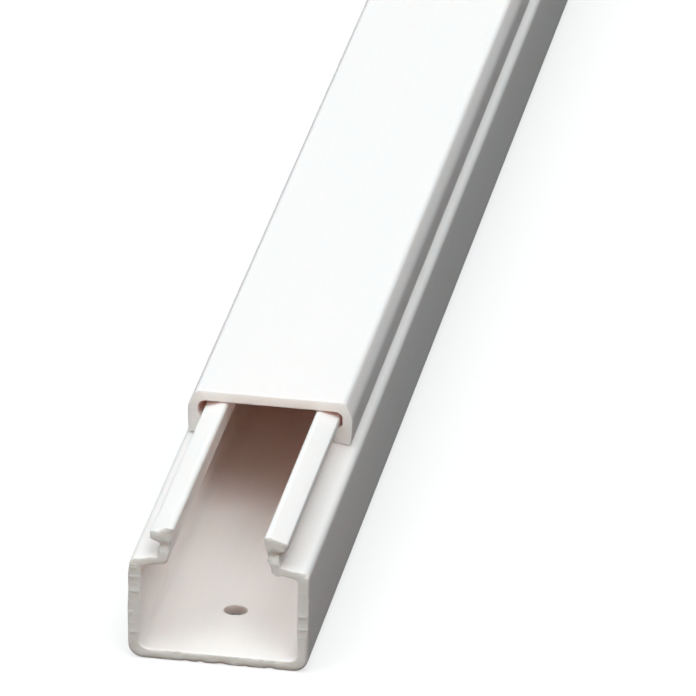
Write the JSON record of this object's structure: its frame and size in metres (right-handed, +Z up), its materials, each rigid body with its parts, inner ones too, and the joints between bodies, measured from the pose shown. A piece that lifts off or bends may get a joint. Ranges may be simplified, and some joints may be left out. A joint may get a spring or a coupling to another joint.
{
  "type": "cable trunking",
  "caption": "White plastic cable trunking: a channel base with barbed snap rails and screw holes in its floor, and a clip-on lid that slides along the rails.",
  "frame": {"origin": "middle of the base's underside, halfway along its length", "axes": "+Z up, away from the wall it is screwed to; +Y along the length, from the open front end to the back; +X to the right seen from the front end"},
  "size_m": [0.03, 2.051, 0.026],
  "materials": {
    "base_plastic": "satin white PVC as extruded, sawn ends",
    "lid_plastic": "satin white PVC as extruded, sawn ends"
  },
  "bodies": {
    "base": {"base_channel": "base_plastic"},
    "lid": {"lid": "lid_plastic"}
  },
  "joints": [
    {"name": "lid_slide", "type": "slide", "parent": "base", "child": "lid", "axis": [0, 1, 0], "range_m": [-0.051, 1.9]}
  ]
}
